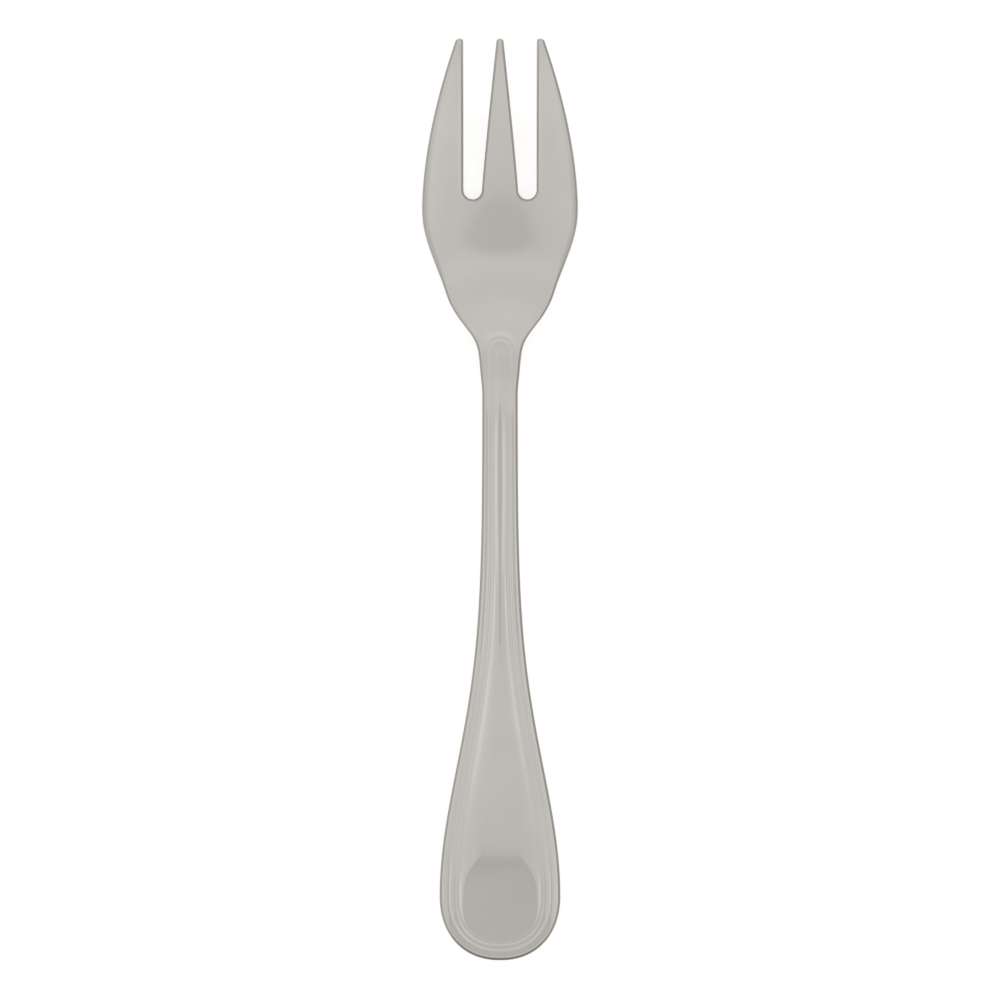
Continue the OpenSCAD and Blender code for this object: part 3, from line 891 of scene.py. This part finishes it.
@dataclass(frozen=True)
class PolishedSteel:
    """Polished stainless steel, with fine lengthwise polishing marks, hairline scratches and light wear."""

    color: Color = (0.66, 0.637, 0.605, 1.0)
    worn_color: Color = (0.635, 0.614, 0.585, 1.0)
    roughness: Span = (0.035, 0.075)
    polish: Marks = Marks((5200.0, 130.0, 5200.0), 3.0, (0.35, 0.65))
    wear: Marks = Marks((95.0, 60.0, 95.0), 4.0, (0.42, 0.72))
    scratches: Marks = Marks((900.0, 55.0, 900.0), 2.0, (0.66, 0.72), 0.35)
    polish_tone: float = 0.3
    polish_roughness: float = 0.02
    polish_height: float = 0.000002
    scratch_roughness: float = 0.05
    scratch_height: float = 0.000003
    relief_strength: float = 0.3
    bowl_haze: float = 0.13
    bowl_span: Span = (0.026, 0.042)

    def bowl(self, shading: Shading, place: Socket) -> Socket:
        """Share of the haze that food and washing leave on the head: none at the neck, all in the bowl."""
        along = shading.add("ShaderNodeSeparateXYZ", {0: place}).outputs["Y"]
        return shading.ranged(along, self.bowl_span)

    def material(self) -> bpy.types.Material:
        """Builds the finish as a material."""
        material = bpy.data.materials.new("polished_steel")
        shading = Shading.of(material)
        place = shading.add("ShaderNodeTexCoord", {}).outputs["Object"]
        marks = self.polish.noise(shading, place)
        fine = shading.ranged(marks, self.polish.showing)
        worn = shading.ranged(self.wear.noise(shading, place), self.wear.showing)
        scratched = shading.ranged(self.scratches.noise(shading, place), self.scratches.showing)
        shading.fill(material.node_tree.nodes["Principled BSDF"], {
            "Metallic": 1.0,
            "Base Color": self.tone(shading, worn, fine),
            "Roughness": self.haze(shading, place, (worn, fine, scratched)),
            "Normal": self.relief(shading, marks, scratched),
        })
        return material

    def tone(self, shading: Shading, worn: Socket, fine: Socket) -> Socket:
        """Colour of the steel, a little darker where it is worn and in the polishing marks."""
        share = shading.sum(Sum.TIMES_PLUS, fine, self.polish_tone, worn)
        blend = {"Factor": share, "A": self.color, "B": self.worn_color}
        return shading.add("ShaderNodeMix", blend, data_type="RGBA").outputs["Result"]

    def haze(self, shading: Shading, place: Socket, layers: tuple[Socket, ...]) -> Socket:
        """Roughness of the steel.

        Args:
            shading: The material's nodes.
            place: Place on the object.
            layers: How worn, how marked by the polish and how scratched the place is.

        Returns:
            The roughness.
        """
        worn, fine, scratched = layers
        rough = shading.ranged(worn, (0.0, 1.0), self.roughness)
        rough = shading.sum(Sum.TIMES_PLUS, fine, self.polish_roughness, rough)
        rough = shading.sum(Sum.TIMES_PLUS, scratched, self.scratch_roughness, rough)
        return shading.sum(Sum.TIMES_PLUS, self.bowl(shading, place), self.bowl_haze, rough)

    def relief(self, shading: Shading, marks: Socket, scratched: Socket) -> Socket:
        """Fine relief of the polishing marks, with the scratches cut into it."""
        grain = shading.add("ShaderNodeBump", {
            "Strength": self.relief_strength,
            "Distance": self.polish_height,
            "Height": marks,
        })
        cut = shading.add("ShaderNodeBump", {
            "Strength": self.relief_strength,
            "Distance": self.scratch_height,
            "Height": scratched,
            "Normal": grain.outputs["Normal"],
        }, invert=True)
        return cut.outputs["Normal"]


@dataclass(frozen=True)
class Tent:
    """Light tent round the fork: its brightness at each angle from straight above, and how it leans."""

    levels: Points = ((0, 0.67), (9.6, 0.665), (11, 0.625), (11.9, 0.57), (12.3, 0.735), (15, 0.77),
                      (20, 0.782), (26, 0.80), (32, 0.83), (40, 0.945), (50, 0.995), (60, 0.90), (72, 0.55),
                      (80, 0.52), (88, 0.48), (90.5, 0.9), (180, 1.0))
    across: Points = ((-1, 1.1), (-0.8, 1.02), (-0.5, 0.975), (0, 1), (0.5, 1.025), (0.8, 0.98), (1, 0.9))
    along: Points = ((-1, 0.55), (-0.8, 0.72), (-0.55, 0.97), (-0.4, 1), (0.15, 1), (0.25, 1.05),
                     (0.34, 1.05), (0.42, 0.985), (0.5, 0.945), (0.57, 0.945), (1, 0.95))
    warm_span: Span = (58.0, 89.0)
    warmth: Tint = (1.0, 0.98, 0.93)
    opening_to: float = 12.0
    opening_tint: Tint = (1.02, 1.0, 0.985)

    def build(self) -> None:
        """Sets the world to the tent."""
        world = bpy.data.worlds.new("tent")
        bpy.context.scene.world = world
        shading = Shading.of(world)
        way = shading.add("ShaderNodeTexCoord", {}).outputs["Generated"]
        parts = shading.add("ShaderNodeSeparateXYZ", {0: way}).outputs
        angle = shading.sum(Sum.OVER, shading.sum(Sum.ANGLE, parts["Z"]), math.pi)
        heights = [(degrees / HALF_TURN, level, self.tint(degrees)) for degrees, level in self.levels]
        leans = [self.lean(shading, parts["X"], self.across), self.lean(shading, parts["Y"], self.along)]
        shading.fill(world.node_tree.nodes["Background"], {
            "Color": self.ramp(shading, angle, heights),
            "Strength": shading.sum(Sum.TIMES, *leans),
        })

    def tint(self, degrees: float) -> Tint:
        """Tint of the tent at an angle from straight above: warm at the opening and near the horizon."""
        if degrees < self.opening_to:
            return self.opening_tint
        return self.warmth if self.warm_span[0] < degrees < self.warm_span[1] else WHITE

    def lean(self, shading: Shading, part: Socket, levels: Points) -> Socket:
        """Brightness by one part of the direction, which runs from -1 to 1 and the ramp from 0 to 1."""
        place = shading.sum(Sum.TIMES_PLUS, part, 0.5, 0.5)
        return self.ramp(shading, place, [((at + 1) / 2, level, WHITE) for at, level in levels])

    @staticmethod
    def ramp(shading: Shading, place: Socket, levels: list[tuple[float, float, Tint]]) -> Socket:
        """Adds a ramp of brightness.

        Args:
            shading: The world's nodes.
            place: Place on the ramp, from 0 to 1.
            levels: Places, levels and tints.

        Returns:
            The ramp's colour.
        """
        ramp = shading.add("ShaderNodeValToRGB", {0: place})
        ramp.color_ramp.interpolation = "LINEAR"
        stops = ramp.color_ramp.elements
        ready = len(stops)
        for i, (at, level, tint) in enumerate(levels):
            stop = stops[i] if i < ready else stops.new(at)
            stop.position = at
            stop.color = (*(level * part for part in tint), 1.0)
        return ramp.outputs[0]


@dataclass(frozen=True)
class Floor:
    """Pale floor that the fork lies on."""

    width: float = 12.0
    gap: float = 0.00002
    tone: float = 0.55
    glow: float = 0.66

    def build(self) -> bpy.types.Object:
        """Lays the floor.

        Returns:
            The floor's object.
        """
        bpy.ops.object.select_all(action="DESELECT")
        bpy.ops.mesh.primitive_plane_add(size=self.width, location=(0, 0, -self.gap))
        floor = bpy.context.object
        floor.name = "floor"
        floor.data.materials.append(self.material())
        return floor

    def material(self) -> bpy.types.Material:
        """Matt and pale, with a glow for what sees or mirrors the floor, but none that lights the fork."""
        material = bpy.data.materials.new("pale_floor")
        shading = Shading.of(material)
        rays = shading.add("ShaderNodeLightPath", {}).outputs
        seen = shading.sum(Sum.LARGER, rays["Is Camera Ray"], rays["Is Glossy Ray"])
        seen = shading.sum(Sum.LARGER, seen, rays["Is Transmission Ray"])
        shading.fill(material.node_tree.nodes["Principled BSDF"], {
            "Base Color": (self.tone, self.tone, self.tone, 1.0),
            "Roughness": 1.0,
            "Specular IOR Level": 0.0,
            "Emission Color": (*WHITE, 1.0),
            "Emission Strength": shading.sum(Sum.TIMES, seen, self.glow),
        })
        return material


@dataclass(frozen=True)
class Viewpoint:
    """Camera straight above the fork, with a long lens."""

    lens: float = 600.0
    sensor: float = 36.0
    frame_mm: float = 163.0
    reach: float = 50.0

    def build(self) -> bpy.types.Object:
        """Places the camera and makes it the scene's."""
        bpy.ops.object.select_all(action="DESELECT")
        half = self.sensor / 2 / self.lens
        height = self.frame_mm * MM / 2 / half
        bpy.ops.object.camera_add(location=(0, 0, height), rotation=(0, 0, 0))
        camera = bpy.context.object
        camera.data.lens = self.lens
        camera.data.sensor_width = self.sensor
        camera.data.clip_end = self.reach
        bpy.context.scene.camera = camera
        return camera


def main() -> None:
    """Builds the scene: the camera, the tent, the floor and the fork."""
    logging.basicConfig(level=logging.INFO, format="%(name)s: %(message)s")
    Viewpoint().build()
    Tent().build()
    Floor().build()
    piece = ForkBody().build()
    piece.data.materials.clear()
    piece.data.materials.append(PolishedSteel().material())
    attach(piece, "root")
    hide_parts("fork")
    log.info("%s: %d faces", piece.name, len(piece.data.polygons))
    bpy.context.scene.view_settings.view_transform = "Standard"


if __name__ == "__main__":
    main()
